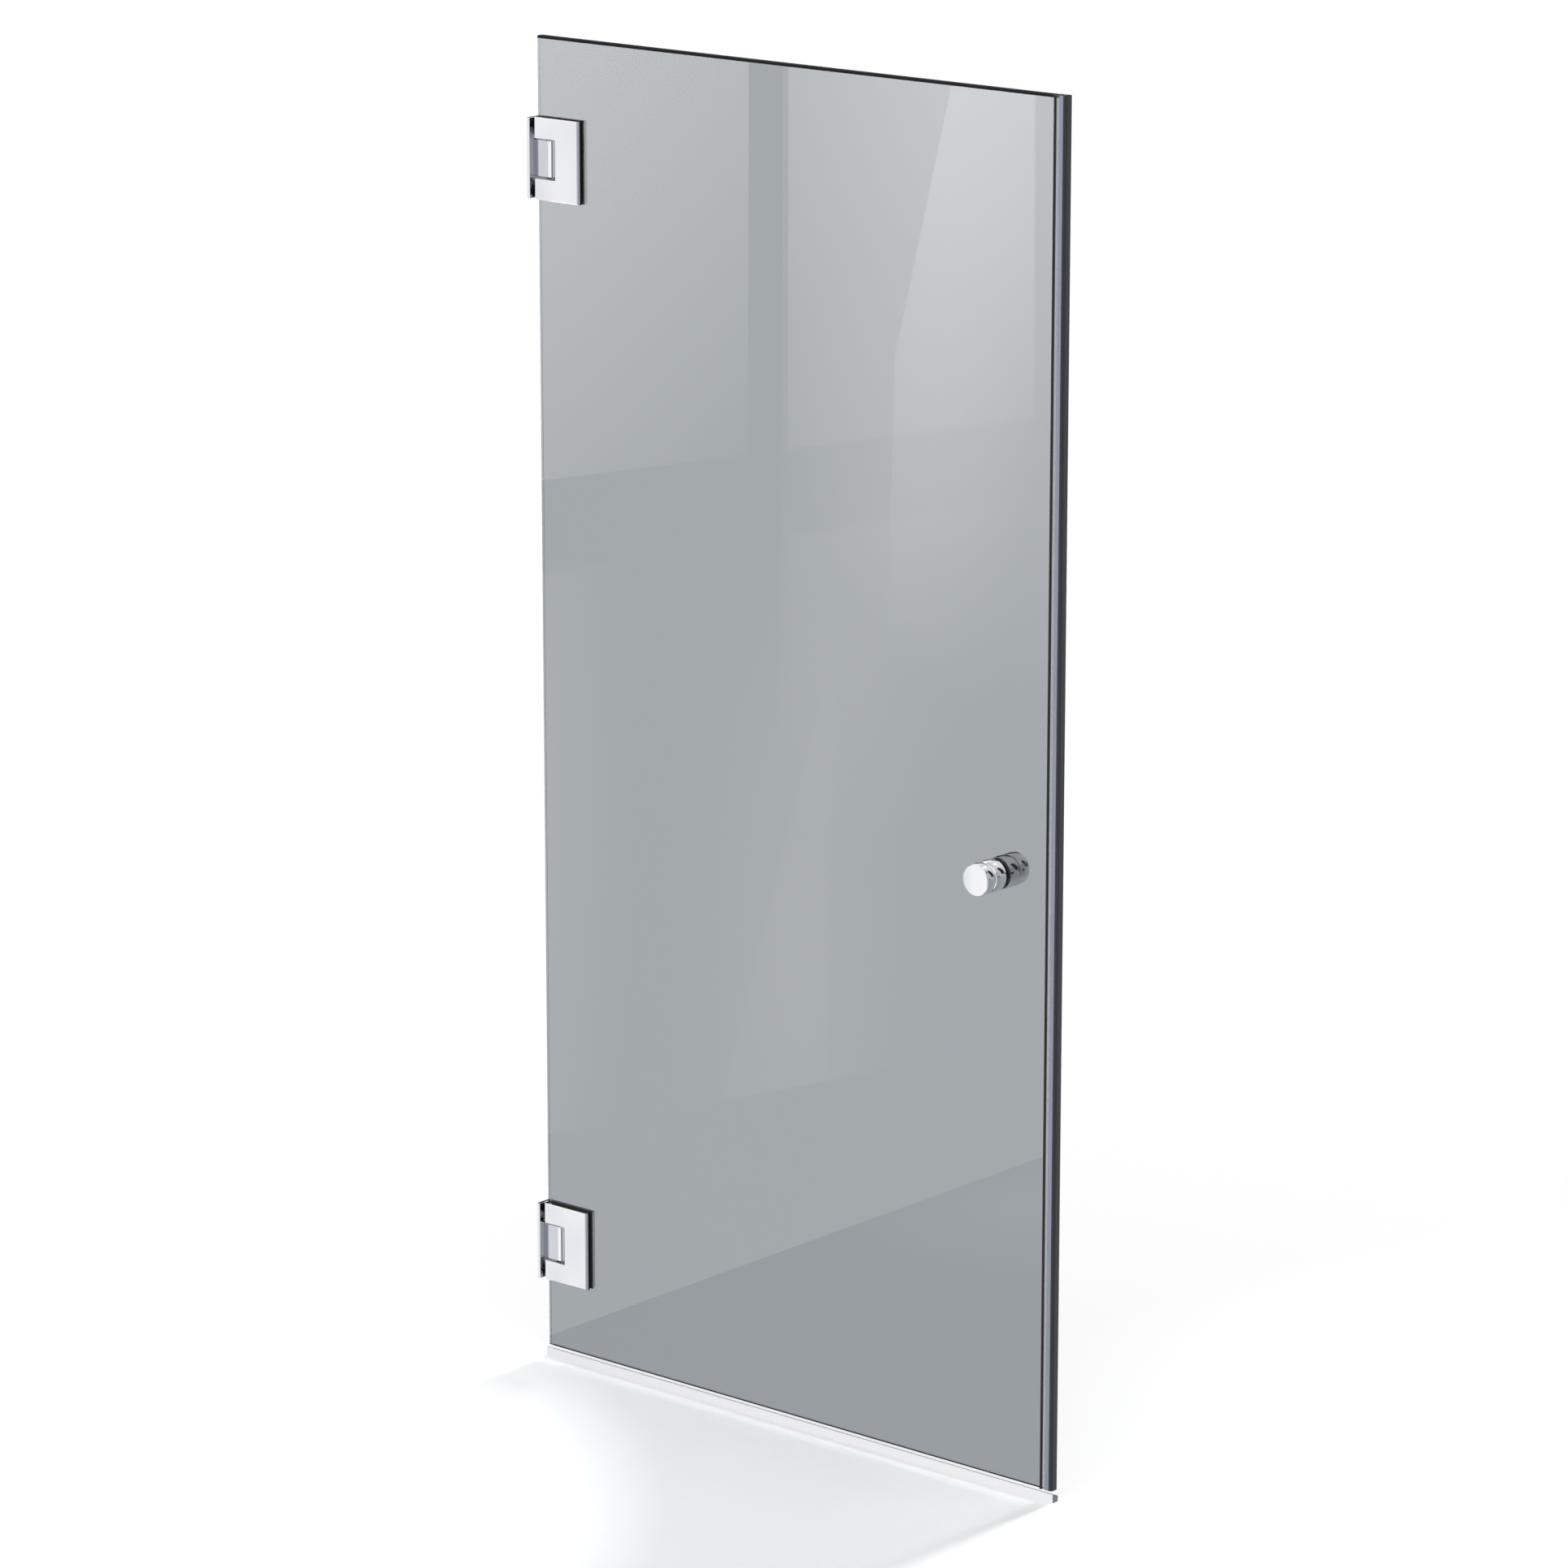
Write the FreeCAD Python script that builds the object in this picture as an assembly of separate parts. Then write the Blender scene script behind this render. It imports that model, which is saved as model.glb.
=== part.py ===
"""Frameless hinged glass shower door: one toughened glass leaf hung from a wall on two
clamp hinges, with a pair of knobs, a closing seal and a threshold bar.

Millimetres. The origin is the centre of the lower hinge's wall plate, on the wall.
+X runs from the wall to the closing edge, +Y to the back of the door, and +Z up.
"""

import FreeCAD, Part
import os

from FreeCAD import Vector

# Glass leaf
GLASS_WIDTH = 900.0
GLASS_HEIGHT = 1850.0
GLASS_THICKNESS = 12.0
GLASS_ARRIS = 1.2
LOWER_HINGE_HEIGHT = 155.0
UPPER_HINGE_DROP = 165.0
HINGE_CUT_OUT_DEPTH = 45.0
HINGE_CUT_OUT_HEIGHT = 77.0
HINGE_CUT_OUT_ROUND = 6.0

# Hinge: wall side
WALL_PLATE_THICKNESS = 5.0
WALL_PLATE_WIDTH = 34.0
WALL_PLATE_HEIGHT = 110.0
WALL_PLATE_EDGE = 0.6
WALL_SCREW_SPACING_Y = 18.0
WALL_SCREW_SPACING_Z = 74.0
WALL_SCREW_HOLE = 5.5
WALL_SCREW_HEAD = 10.5
WALL_GAP = 5.0
BLOCK_THICKNESS = 25.0
BLOCK_WAIST = 20.0
BLOCK_FLARE_LENGTH = 12.0
BLOCK_EDGE = 0.8

# Hinge: glass side
CLAMP_WIDTH = 78.0
CLAMP_HEIGHT = 112.0
CLAMP_THICKNESS = 6.0
CLAMP_BEVEL = 1.0
CLAMP_SCREW_HOLE = 5.5
CLAMP_SCREW_HEAD = 9.5
CLAMP_SCREW_FROM_PIN = 12.0
CLAMP_SCREW_WALL = 1.5
CLAMP_THREAD_BORE = 4.2
CLAMP_THREAD_DEPTH = 9.0
NOTCH_HEIGHT = 55.0
NOTCH_CORNER = 2.0
GASKET_THICKNESS = 1.0
GASKET_PROUD = 0.8

# Hinge: pin and fits
PIN_DIAMETER = 10.0
PIN_TO_CLAMP_EDGE = 24.0
PIN_END_CAP = 2.0
PIN_RUNNING_CLEARANCE = 0.05
PIN_SEAT_CLEARANCE = 0.02
BLOCK_NOSE_GAP = 1.5
BLOCK_TOP_GAP = 1.5
BLOCK_BOTTOM_GAP = 3.0
BOSS_CLEARANCE = 0.5

# Knob set
KNOB_FROM_CLOSING_EDGE = 100.0
KNOB_HEIGHT = 825.0
KNOB_LENGTH = 39.0
KNOB_DIAMETER = 44.0
KNOB_WAIST_DIAMETER = 40.0
KNOB_WAIST_WIDTH = 7.0
KNOB_WAIST_FROM_FACE = 18.0
KNOB_RIM_BEVEL = 2.0
KNOB_HOLE = 14.0
BUSH_FLANGE_DIAMETER = 38.0
BUSH_FLANGE_THICKNESS = 1.0
BUSH_CLEARANCE = 0.2
STUD_DIAMETER = 8.0
STUD_CLEARANCE = 0.05
STUD_DEPTH_IN_KNOB = 16.0

# Closing seal
SEAL_LIP_LENGTH = 11.0
SEAL_WALL = 1.0
SEAL_BEAD = 1.8
SEAL_NOSE_LENGTH = 5.0
SEAL_NOSE_ROUND = 4.0
SEAL_NOSE_WALL = 1.2

# Threshold bar
THRESHOLD_DEPTH = 11.0
THRESHOLD_FRONT_HEIGHT = 12.0
THRESHOLD_CROWN_HEIGHT = 10.6
THRESHOLD_BACK_HEIGHT = 8.0
THRESHOLD_SETBACK = 3.0
THRESHOLD_WALL_JOINT = 4.0
LEAF_FLOOR_GAP = 5.0

# Places worked out from the sizes above
GLASS_X0 = WALL_PLATE_THICKNESS + WALL_GAP
GLASS_X1 = GLASS_X0 + GLASS_WIDTH
GLASS_Z0 = -LOWER_HINGE_HEIGHT
GLASS_Z1 = GLASS_Z0 + GLASS_HEIGHT
GLASS_FACE = GLASS_THICKNESS / 2
UPPER_HINGE_Z = GLASS_Z1 - UPPER_HINGE_DROP
PIN_X = GLASS_X0 + PIN_TO_CLAMP_EDGE
CLAMP_INNER = GLASS_FACE + GASKET_THICKNESS
CLAMP_OUTER = CLAMP_INNER + CLAMP_THICKNESS
NOTCH_DEPTH = PIN_TO_CLAMP_EDGE + BLOCK_THICKNESS / 2 + BLOCK_NOSE_GAP
BLOCK_HEIGHT = NOTCH_HEIGHT - BLOCK_TOP_GAP - BLOCK_BOTTOM_GAP
BOSS_DEPTH = HINGE_CUT_OUT_DEPTH - BOSS_CLEARANCE
BOSS_HEIGHT = HINGE_CUT_OUT_HEIGHT - 2 * BOSS_CLEARANCE
PIN_LENGTH = BOSS_HEIGHT - 2 * PIN_END_CAP
KNOB_X = GLASS_X1 - KNOB_FROM_CLOSING_EDGE
KNOB_Z = GLASS_Z0 + KNOB_HEIGHT
SEAL_FACE = GLASS_FACE + SEAL_WALL
SEAL_WEB_X = GLASS_X1 + SEAL_WALL
SEAL_END_X = SEAL_WEB_X + SEAL_NOSE_LENGTH
FLOOR_Z = GLASS_Z0 - LEAF_FLOOR_GAP - THRESHOLD_FRONT_HEIGHT

HINGES = {"lower": 0.0, "upper": UPPER_HINGE_Z}
FRONT, BACK = -1, 1


def box(x0, x1, y0, y1, z0, z1):
    """A block between two opposite corners, given in any order."""
    low = Vector(min(x0, x1), min(y0, y1), min(z0, z1))
    return Part.makeBox(abs(x1 - x0), abs(y1 - y0), abs(z1 - z0), low)


def prism(edges, direction):
    """The solid swept by a closed outline along a vector."""
    return Part.Face(Part.Wire(edges)).extrude(direction)


def line(a, b):
    return Part.LineSegment(a, b).toShape()


def arc(a, through, b):
    return Part.Arc(a, through, b).toShape()


def rounded(solid, radius, wanted):
    """The solid with every edge that the test accepts rounded."""
    return solid.makeFillet(radius, [e for e in solid.Edges if wanted(e)])


def bevelled(solid, size, wanted):
    """The solid with every edge that the test accepts chamfered."""
    return solid.makeChamfer(size, [e for e in solid.Edges if wanted(e)])


def runs_along(edge, axis):
    """Whether an edge is straight and parallel to an axis."""
    if not isinstance(edge.Curve, Part.Line):
        return False
    return abs(edge.Curve.Direction.dot(axis)) > 0.999


def lies_at(edge, axis, value):
    """Whether a whole edge lies in the plane where the coordinate has the value."""
    ends = (edge.BoundBox.XMin, edge.BoundBox.YMin, edge.BoundBox.ZMin)
    tops = (edge.BoundBox.XMax, edge.BoundBox.YMax, edge.BoundBox.ZMax)
    index = "XYZ".index(axis)
    return abs(ends[index] - value) < 0.01 and abs(tops[index] - value) < 0.01


def rounded_inside(x0, x1, y0, y1, half_height, corner, z):
    """A cutter open at x0, whose two far corners are rounded."""
    cutter = box(x0, x1, y0, y1, z - half_height, z + half_height)

    def far_corner(edge):
        return runs_along(edge, Vector(0, 1, 0)) and lies_at(edge, "X", x1)

    return rounded(cutter, corner, far_corner)


def countersunk_hole(point, direction, depth, hole, head):
    """A cutter for a screw whose flat head is flush with the surface at the point."""
    head_depth = (head - hole) / 2
    cone = Part.makeCone(head / 2, hole / 2, head_depth, point, direction)
    return Part.makeCylinder(hole / 2, depth, point, direction).fuse(cone)


def corners(centre_a, spacing_a, centre_b, spacing_b):
    """The four places of a rectangular pattern."""
    return [
        (centre_a + i * spacing_a / 2, centre_b + j * spacing_b / 2)
        for i in (-1, 1)
        for j in (-1, 1)
    ]


def clamp_screw_places(z):
    """The places of a hinge's two clamp screws, one in each arm beside the pin."""
    x = PIN_X + CLAMP_SCREW_FROM_PIN
    rise = NOTCH_HEIGHT / 2 + CLAMP_SCREW_WALL + CLAMP_SCREW_HEAD / 2
    return [(x, z - rise), (x, z + rise)]


def door_glass():
    """The leaf, with its ground edges, two hinge cut-outs and the knob's hole."""
    leaf = box(GLASS_X0, GLASS_X1, -GLASS_FACE, GLASS_FACE, GLASS_Z0, GLASS_Z1)
    leaf = leaf.makeChamfer(
        GLASS_ARRIS, [e for e in leaf.Edges if not runs_along(e, Vector(0, 1, 0))]
    )
    cutters = [
        rounded_inside(
            GLASS_X0 - GLASS_ARRIS,
            GLASS_X0 + HINGE_CUT_OUT_DEPTH,
            -GLASS_FACE,
            GLASS_FACE,
            HINGE_CUT_OUT_HEIGHT / 2,
            HINGE_CUT_OUT_ROUND,
            z,
        )
        for z in HINGES.values()
    ]
    knob_hole = Part.makeCylinder(
        KNOB_HOLE / 2, GLASS_THICKNESS, Vector(KNOB_X, -GLASS_FACE, KNOB_Z), Vector(0, 1, 0)
    )
    return leaf.cut(cutters + [knob_hole])


def wall_plate(z):
    """The plate screwed to the wall, with four countersunk holes above and below the block."""
    half_width, half_height = WALL_PLATE_WIDTH / 2, WALL_PLATE_HEIGHT / 2
    plate = box(
        0, WALL_PLATE_THICKNESS, -half_width, half_width, z - half_height, z + half_height
    )
    plate = bevelled(plate, WALL_PLATE_EDGE, lambda e: lies_at(e, "X", WALL_PLATE_THICKNESS))
    holes = [
        countersunk_hole(
            Vector(WALL_PLATE_THICKNESS, y, height),
            Vector(-1, 0, 0),
            WALL_PLATE_THICKNESS,
            WALL_SCREW_HOLE,
            WALL_SCREW_HEAD,
        )
        for y, height in corners(0, WALL_SCREW_SPACING_Y, z, WALL_SCREW_SPACING_Z)
    ]
    return plate.cut(holes)


def pivot_block(z):
    """The block that flares from the wall plate to a barrel round the pin, and is bored for it."""
    waist, half = BLOCK_WAIST / 2, BLOCK_THICKNESS / 2
    x0 = WALL_PLATE_THICKNESS
    x1 = x0 + BLOCK_FLARE_LENGTH
    z0 = z - NOTCH_HEIGHT / 2 + BLOCK_BOTTOM_GAP
    front = [Vector(x0, -waist, z0), Vector(x1, -half, z0), Vector(PIN_X, -half, z0)]
    back = [Vector(x0, waist, z0), Vector(x1, half, z0), Vector(PIN_X, half, z0)]
    outline = [
        line(front[0], front[1]),
        line(front[1], front[2]),
        arc(front[2], Vector(PIN_X + half, 0, z0), back[2]),
        line(back[2], back[1]),
        line(back[1], back[0]),
        line(back[0], front[0]),
    ]
    block = prism(outline, Vector(0, 0, BLOCK_HEIGHT))

    def end_rim(edge):
        at_end = lies_at(edge, "Z", z0) or lies_at(edge, "Z", z0 + BLOCK_HEIGHT)
        return at_end and not lies_at(edge, "X", x0)

    block = bevelled(block, BLOCK_EDGE, end_rim)
    bore = PIN_DIAMETER / 2 + PIN_RUNNING_CLEARANCE
    return block.cut(Part.makeCylinder(bore, BLOCK_HEIGHT, Vector(PIN_X, 0, z0)))


def pivot_pin(z):
    """The pin that the block turns on, held at both ends between the clamp plates."""
    return Part.makeCylinder(
        PIN_DIAMETER / 2, PIN_LENGTH, Vector(PIN_X, 0, z - PIN_LENGTH / 2)
    )


def clamp_plate(z, side):
    """One half of the clamp: a bevelled plate with a notch for the block, and on its inner side
    a boss that fills the glass's cut-out, meets the other half and grips the pin."""
    x0, x1 = GLASS_X0, GLASS_X0 + CLAMP_WIDTH
    inner, outer = side * CLAMP_INNER, side * CLAMP_OUTER
    plate = box(x0, x1, inner, outer, z - CLAMP_HEIGHT / 2, z + CLAMP_HEIGHT / 2)
    plate = bevelled(plate, CLAMP_BEVEL, lambda e: lies_at(e, "Y", outer))
    boss = rounded_inside(
        x0, x0 + BOSS_DEPTH, 0, inner, BOSS_HEIGHT / 2, HINGE_CUT_OUT_ROUND - BOSS_CLEARANCE, z
    )
    notch = rounded_inside(x0, x0 + NOTCH_DEPTH, 0, outer, NOTCH_HEIGHT / 2, NOTCH_CORNER, z)
    pin_seat = Part.makeCylinder(
        PIN_DIAMETER / 2 + PIN_SEAT_CLEARANCE, PIN_LENGTH, Vector(PIN_X, 0, z - PIN_LENGTH / 2)
    )
    return plate.fuse(boss).cut([notch, pin_seat] + clamp_screw_holes(z, side))


def clamp_screw_holes(z, side):
    """Cutters for the clamp screws: flush heads in the back half, threads in the front half."""
    outward = Vector(0, side, 0)
    if side == BACK:
        return [
            countersunk_hole(
                Vector(x, CLAMP_OUTER, height),
                -outward,
                CLAMP_OUTER,
                CLAMP_SCREW_HOLE,
                CLAMP_SCREW_HEAD,
            )
            for x, height in clamp_screw_places(z)
        ]
    return [
        Part.makeCylinder(CLAMP_THREAD_BORE / 2, CLAMP_THREAD_DEPTH, Vector(x, 0, height), outward)
        for x, height in clamp_screw_places(z)
    ]


def clamp_gasket(z, side):
    """The pad between a clamp plate and the glass, open round the boss."""
    inner, outer = side * GLASS_FACE, side * CLAMP_INNER
    half_height = CLAMP_HEIGHT / 2 + GASKET_PROUD
    x1 = GLASS_X0 + CLAMP_WIDTH + GASKET_PROUD
    pad = box(GLASS_X0, x1, inner, outer, z - half_height, z + half_height)
    opening = rounded_inside(
        GLASS_X0,
        GLASS_X0 + HINGE_CUT_OUT_DEPTH,
        inner,
        outer,
        HINGE_CUT_OUT_HEIGHT / 2,
        HINGE_CUT_OUT_ROUND,
        z,
    )
    return pad.cut(opening)


def knob(side):
    """A turned knob: two drums with a waist between them, a bevelled rim and a flat face."""
    base = BUSH_FLANGE_THICKNESS
    end = base + KNOB_LENGTH
    waist = end - KNOB_WAIST_FROM_FACE
    radius = KNOB_DIAMETER / 2
    profile = [
        (0, base),
        (radius, base),
        (radius, waist - KNOB_WAIST_WIDTH / 2),
        (KNOB_WAIST_DIAMETER / 2, waist),
        (radius, waist + KNOB_WAIST_WIDTH / 2),
        (radius, end - KNOB_RIM_BEVEL),
        (radius - KNOB_RIM_BEVEL, end),
        (0, end),
    ]
    turned = turned_on_knob_axis(profile, side)
    stud_bore = Part.makeCylinder(
        STUD_DIAMETER / 2 + STUD_CLEARANCE,
        STUD_DEPTH_IN_KNOB,
        Vector(KNOB_X, side * (GLASS_FACE + base), KNOB_Z),
        Vector(0, side, 0),
    )
    return turned.cut(stud_bore)


def turned_on_knob_axis(profile, side):
    """The solid turned from a profile of radii and distances out from the glass's face."""
    points = [
        Vector(KNOB_X + radius, side * (GLASS_FACE + distance), KNOB_Z)
        for radius, distance in profile
    ]
    outline = [line(a, b) for a, b in zip(points, points[1:] + points[:1])]
    axis = Vector(0, 1, 0)
    return Part.Face(Part.Wire(outline)).revolve(Vector(KNOB_X, 0, KNOB_Z), axis, 360)


def knob_bush(side):
    """A flanged bush that centres the stud in the glass and keeps the knob off its face."""
    flange = BUSH_FLANGE_DIAMETER / 2
    spigot = KNOB_HOLE / 2 - BUSH_CLEARANCE
    bore = STUD_DIAMETER / 2 + BUSH_CLEARANCE
    profile = [
        (bore, BUSH_FLANGE_THICKNESS),
        (flange, BUSH_FLANGE_THICKNESS),
        (flange, 0),
        (spigot, 0),
        (spigot, BUSH_CLEARANCE - GLASS_FACE),
        (bore, BUSH_CLEARANCE - GLASS_FACE),
    ]
    return turned_on_knob_axis(profile, side)


def knob_stud():
    """The threaded stud that draws the two knobs together through the glass."""
    reach = GLASS_FACE + BUSH_FLANGE_THICKNESS + STUD_DEPTH_IN_KNOB
    return Part.makeCylinder(
        STUD_DIAMETER / 2, 2 * reach, Vector(KNOB_X, -reach, KNOB_Z), Vector(0, 1, 0)
    )


def closing_seal_channel():
    """The clear channel pushed over the closing edge, with a soft bead along each lip."""
    lip_x = GLASS_X1 - SEAL_LIP_LENGTH
    channel = box(lip_x, SEAL_WEB_X, -SEAL_FACE, SEAL_FACE, GLASS_Z0, GLASS_Z1)
    channel = channel.cut(box(lip_x, GLASS_X1, -GLASS_FACE, GLASS_FACE, GLASS_Z0, GLASS_Z1))
    beads = [
        Part.makeCylinder(
            SEAL_BEAD / 2,
            GLASS_HEIGHT,
            Vector(lip_x, side * (GLASS_FACE + SEAL_BEAD / 2), GLASS_Z0),
        )
        for side in (FRONT, BACK)
    ]
    return channel.fuse(beads).removeSplitter()


def rounded_nose(x0, x1, half, corner):
    """A strip as tall as the glass whose two far edges are rounded."""
    strip = box(x0, x1, -half, half, GLASS_Z0, GLASS_Z1)

    def far_edge(edge):
        return runs_along(edge, Vector(0, 0, 1)) and lies_at(edge, "X", x1)

    return rounded(strip, corner, far_edge)


def closing_seal_nose():
    """The dark hollow nose that meets the wall or panel when the door closes."""
    wall = SEAL_NOSE_WALL
    outer = rounded_nose(SEAL_WEB_X, SEAL_END_X, SEAL_FACE, SEAL_NOSE_ROUND)
    hollow = rounded_nose(
        SEAL_WEB_X + wall, SEAL_END_X - wall, SEAL_FACE - wall, SEAL_NOSE_ROUND - 2 * wall
    )
    return outer.cut(hollow)


def threshold_bar():
    """The bar under the leaf, with a crowned top that falls to the back."""
    y0 = -SEAL_FACE + THRESHOLD_SETBACK
    y1 = y0 + THRESHOLD_DEPTH

    def point(y, height):
        return Vector(THRESHOLD_WALL_JOINT, y, FLOOR_Z + height)

    outline = [
        line(point(y0, 0), point(y0, THRESHOLD_FRONT_HEIGHT)),
        arc(
            point(y0, THRESHOLD_FRONT_HEIGHT),
            point((y0 + y1) / 2, THRESHOLD_CROWN_HEIGHT),
            point(y1, THRESHOLD_BACK_HEIGHT),
        ),
        line(point(y1, THRESHOLD_BACK_HEIGHT), point(y1, 0)),
        line(point(y1, 0), point(y0, 0)),
    ]
    return prism(outline, Vector(SEAL_END_X - THRESHOLD_WALL_JOINT, 0, 0))


def hinge(name, z):
    """The nodes of one hinge."""
    return {
        f"{name}_wall_plate": wall_plate(z),
        f"{name}_pivot_block": pivot_block(z),
        f"{name}_pivot_pin": pivot_pin(z),
        f"{name}_front_clamp_plate": clamp_plate(z, FRONT),
        f"{name}_back_clamp_plate": clamp_plate(z, BACK),
        f"{name}_front_gasket": clamp_gasket(z, FRONT),
        f"{name}_back_gasket": clamp_gasket(z, BACK),
    }


def knob_set():
    """The nodes of the pair of knobs."""
    return {
        "outer_knob": knob(FRONT),
        "inner_knob": knob(BACK),
        "outer_knob_bush": knob_bush(FRONT),
        "inner_knob_bush": knob_bush(BACK),
        "knob_stud": knob_stud(),
    }


def build():
    """Every node of the door, by name."""
    nodes = {"door_glass": door_glass()}
    for name, z in HINGES.items():
        nodes.update(hinge(name, z))
    nodes.update(knob_set())
    nodes["closing_seal_channel"] = closing_seal_channel()
    nodes["closing_seal_nose"] = closing_seal_nose()
    nodes["threshold_bar"] = threshold_bar()
    return nodes


os.makedirs("parts", exist_ok=True)
for node, shape in build().items():
    shape.exportStep(f"parts/{node}.step")
    print(f"{node}: {len(shape.Solids)} solid, {shape.Volume / 1000:.2f} cm3, valid {shape.isValid()}")
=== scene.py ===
"""Dresses the frameless hinged glass shower door: its finishes, screws, turned knobs and clear
closing seal, and the studio it stands in.

Metres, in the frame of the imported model: +X runs from the wall to the closing edge, +Y to the
back of the door and +Z up, and the origin lies on the wall behind the lower hinge.
"""

import logging
import math
from dataclasses import dataclass, field
from enum import Enum

import bmesh
import bpy
from mathutils import Matrix, Vector

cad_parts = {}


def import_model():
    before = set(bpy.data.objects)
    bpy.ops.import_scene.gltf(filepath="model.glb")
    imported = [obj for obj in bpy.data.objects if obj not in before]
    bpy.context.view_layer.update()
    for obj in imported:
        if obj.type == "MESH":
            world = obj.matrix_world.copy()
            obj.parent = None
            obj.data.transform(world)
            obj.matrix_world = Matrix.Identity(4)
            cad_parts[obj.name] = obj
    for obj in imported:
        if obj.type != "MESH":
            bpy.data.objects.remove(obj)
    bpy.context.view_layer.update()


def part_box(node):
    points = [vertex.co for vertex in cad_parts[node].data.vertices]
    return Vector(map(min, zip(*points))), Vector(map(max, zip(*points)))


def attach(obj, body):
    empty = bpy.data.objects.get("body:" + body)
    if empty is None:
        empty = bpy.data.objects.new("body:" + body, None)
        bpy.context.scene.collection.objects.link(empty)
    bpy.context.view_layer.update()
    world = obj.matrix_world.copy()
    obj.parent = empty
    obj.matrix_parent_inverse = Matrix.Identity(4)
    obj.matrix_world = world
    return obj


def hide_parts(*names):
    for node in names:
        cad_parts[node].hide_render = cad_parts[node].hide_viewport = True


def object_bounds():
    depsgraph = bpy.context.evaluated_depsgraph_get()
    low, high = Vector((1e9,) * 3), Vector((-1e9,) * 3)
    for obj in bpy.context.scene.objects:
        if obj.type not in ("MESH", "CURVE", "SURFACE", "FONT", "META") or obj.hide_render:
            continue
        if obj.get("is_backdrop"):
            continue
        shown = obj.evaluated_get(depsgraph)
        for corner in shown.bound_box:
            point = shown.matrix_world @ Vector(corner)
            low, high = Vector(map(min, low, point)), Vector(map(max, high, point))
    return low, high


LOG = logging.getLogger("shower_door")
MM = 0.001
MERGE_DISTANCE = 0.001 * MM
SHARP_ANGLE = math.radians(35)
# A ray's depth is a whole number, and these part no bounce from one and one from two
AFTER_ONE = 0.5
AFTER_TWO = 1.5


class Body(Enum):
    """The two bodies of the door."""

    WALL_SIDE = "wall_side"
    DOOR_LEAF = "door_leaf"


class Slot(Enum):
    """The record's material slots."""

    GLASS = "grey_glass"
    CHROME = "polished_chrome"
    STEEL = "pin_steel"
    GASKET = "black_gasket"
    NYLON = "clear_nylon"
    CLEAR_SEAL = "clear_seal"
    DARK_SEAL = "dark_seal"
    ALUMINIUM = "bright_aluminium"


class Side(Enum):
    """The two sides of the leaf, as the sign of Y."""

    FRONT = -1
    BACK = 1


def linear(hex_colour: str) -> tuple[float, float, float, float]:
    """Turns an sRGB colour to linear.

    Args:
        hex_colour: The colour as #RRGGBB.

    Returns:
        Red, green, blue and an alpha of 1.
    """
    channels = [int(hex_colour[i : i + 2], 16) / 255 for i in (1, 3, 5)]
    values = [c / 12.92 if c <= 0.04045 else ((c + 0.055) / 1.055) ** 2.4 for c in channels]
    return (*values, 1.0)


def add_node(
    tree: bpy.types.NodeTree, kind: str, inputs: dict | None = None, **settings
) -> bpy.types.Node:
    """Adds a node with its settings and links.

    Args:
        tree: The tree to add to.
        kind: The node's type.
        inputs: For each input a value, an output to link it from, or a node whose first output
            it is linked from.
        settings: The node's other settings.

    Returns:
        The node.
    """
    node = tree.nodes.new(kind)
    for name, value in settings.items():
        setattr(node, name, value)
    for socket, value in (inputs or {}).items():
        source = value.outputs[0] if isinstance(value, bpy.types.Node) else value
        if isinstance(source, bpy.types.NodeSocket):
            tree.links.new(source, node.inputs[socket])
        else:
            node.inputs[socket].default_value = source
    return node


def new_material(name: str) -> bpy.types.Material:
    """Starts a material with an empty tree.

    Args:
        name: The material's name.

    Returns:
        The material.
    """
    material = bpy.data.materials.new(name)
    material.use_nodes = True
    material.node_tree.nodes.clear()
    return material


@dataclass(frozen=True)
class Finish:
    """A finish: the material's name, and the slot that it belongs to."""

    name: str
    slot: Slot

    def material(self) -> bpy.types.Material:
        """Makes the material once.

        Returns:
            The material, made now or before.
        """
        made = bpy.data.materials.get(self.name)
        if made is None:
            made = new_material(self.name)
            tree = made.node_tree
            add_node(tree, "ShaderNodeOutputMaterial", self.shaders(tree))
        return made

    def shaders(self, tree: bpy.types.NodeTree) -> dict[str, bpy.types.Node]:
        """Makes the shader for each input of the material's output."""
        raise NotImplementedError

    def dress_node(self, node: str) -> None:
        """Gives the finish to a node of the frame."""
        for slot in bpy.data.objects[node].material_slots:
            slot.material = self.material()


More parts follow.
